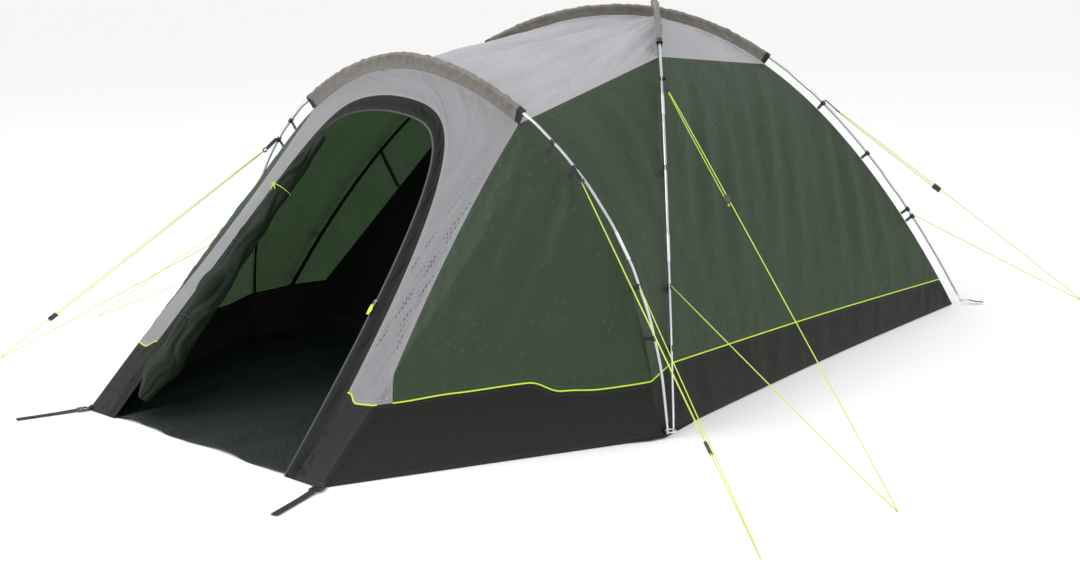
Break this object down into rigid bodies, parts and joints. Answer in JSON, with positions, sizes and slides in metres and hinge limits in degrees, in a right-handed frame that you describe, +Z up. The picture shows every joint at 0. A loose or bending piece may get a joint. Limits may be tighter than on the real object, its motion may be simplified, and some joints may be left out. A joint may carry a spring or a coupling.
{
  "type": "dome tent",
  "caption": "Low dome tent with two crossing poles, a hooped porch with an open arched door, mud walls, an inner tent and guylines.",
  "frame": {"origin": "on the ground at the middle of the tent's plan, halfway between the front corner pegs and the rear pole feet", "axes": "+Z up, -Y out of the porch door, +X to the right when looking along +Y"},
  "size_m": [3.3098, 3.259, 1.1159],
  "materials": {
    "pole_alloy": "satin tube",
    "bright_steel": "polished",
    "elastic_cord": "braided",
    "sleeve_cloth": "fine plain weave",
    "black_webbing": "ribbed webbing",
    "grey_cloth": "fine ripstop weave",
    "green_cloth": "fine ripstop weave",
    "charcoal_cloth": "coated weave",
    "dark_green_cloth": "coated weave",
    "lime_piping": "piping",
    "zip_tape": "coil zip",
    "lime_cord": "braided cord",
    "inner_cloth": "breathable weave",
    "floor_cloth": "coated floor cloth",
    "black_plastic": "moulded"
  },
  "bodies": {
    "tent": {"corner_webbing": "black_webbing", "dome_pole_hooks_left": "black_plastic", "dome_pole_hooks_right": "black_plastic", "dome_pole_left": "pole_alloy", "dome_pole_right": "pole_alloy", "dome_side_panel_left": "green_cloth", "dome_side_panel_right": "green_cloth", "dome_sleeve_left": "sleeve_cloth", "dome_sleeve_right": "sleeve_cloth", "door_border": "dark_green_cloth", "door_ties": "lime_cord", "door_zip": "zip_tape", "guy_rings": "black_plastic", "guy_straps": "black_webbing", "guyline_front_left": "lime_cord", "guyline_front_right": "lime_cord", "guyline_porch_left": "lime_cord", "guyline_porch_right": "lime_cord", "guyline_rear_right": "lime_cord", "hem_piping": "lime_piping", "hoop_gusset_panel_left": "green_cloth", "hoop_gusset_panel_right": "green_cloth", "inner_floor_tub": "floor_cloth", "inner_front_wall": "inner_cloth", "inner_hangers": "black_webbing", "inner_rear_wall": "inner_cloth", "inner_roof": "inner_cloth", "inner_side_wall_left": "inner_cloth", "inner_side_wall_right": "inner_cloth", "ladder_lock_buckles": "black_plastic", "mud_wall_porch_left": "charcoal_cloth", "mud_wall_porch_right": "charcoal_cloth", "mud_wall_rear": "charcoal_cloth", "mud_wall_side_left": "charcoal_cloth", "mud_wall_side_right": "charcoal_cloth", "pegging_rings": "bright_steel", "pole_ferrules": "bright_steel", "pole_pins": "bright_steel", "pole_shock_cords": "elastic_cord", "porch_arch_panel": "grey_cloth", "porch_groundsheet": "floor_cloth", "porch_pole": "pole_alloy", "porch_pole_hooks": "black_plastic", "porch_side_panel_left": "green_cloth", "porch_side_panel_right": "green_cloth", "porch_sleeve": "sleeve_cloth", "rear_panel": "green_cloth", "rolled_door": "dark_green_cloth", "roof_cap_panels": "grey_cloth", "roof_front_panel": "grey_cloth", "sleeve_end_tapes": "black_webbing"},
    "door_zip_slider": {"door_zip_slider": "lime_cord"},
    "inner_door": {"inner_door_flap": "inner_cloth"},
    "slider_porch_right": {"guyline_slider_porch_right": "black_plastic"},
    "slider_front_right": {"guyline_slider_front_right": "black_plastic"},
    "slider_rear_right": {"guyline_slider_rear_right": "black_plastic"},
    "slider_porch_left": {"guyline_slider_porch_left": "black_plastic"},
    "slider_front_left": {"guyline_slider_front_left": "black_plastic"}
  },
  "joints": [
    {"name": "inner_door_swing", "type": "hinge", "parent": "tent", "child": "inner_door", "pos_m": [-0.31, -0.34209, 0.14087], "axis": [0.1233, 0.5334, 0.8369], "range_deg": [-85, 0]},
    {"name": "door_zip_slide", "type": "slide", "parent": "tent", "child": "door_zip_slider", "axis": [0.0867, -0.6776, -0.7303], "range_m": [0, 0.292]},
    {"name": "slider_porch_right_slide", "type": "slide", "parent": "tent", "child": "slider_porch_right", "axis": [-0.7489, 0.3934, 0.5332], "range_m": [0, 0.15]},
    {"name": "slider_front_right_slide", "type": "slide", "parent": "tent", "child": "slider_front_right", "axis": [-0.7403, 0.4029, 0.5382], "range_m": [0, 0.15]},
    {"name": "slider_rear_right_slide", "type": "slide", "parent": "tent", "child": "slider_rear_right", "axis": [-0.548, -0.5635, 0.6182], "range_m": [0, 0.15]},
    {"name": "slider_porch_left_slide", "type": "slide", "parent": "tent", "child": "slider_porch_left", "axis": [0.5533, 0.5878, 0.5902], "range_m": [0, 0.15]},
    {"name": "slider_front_left_slide", "type": "slide", "parent": "tent", "child": "slider_front_left", "axis": [0.7026, 0.4558, 0.5464], "range_m": [0, 0.15]}
  ]
}
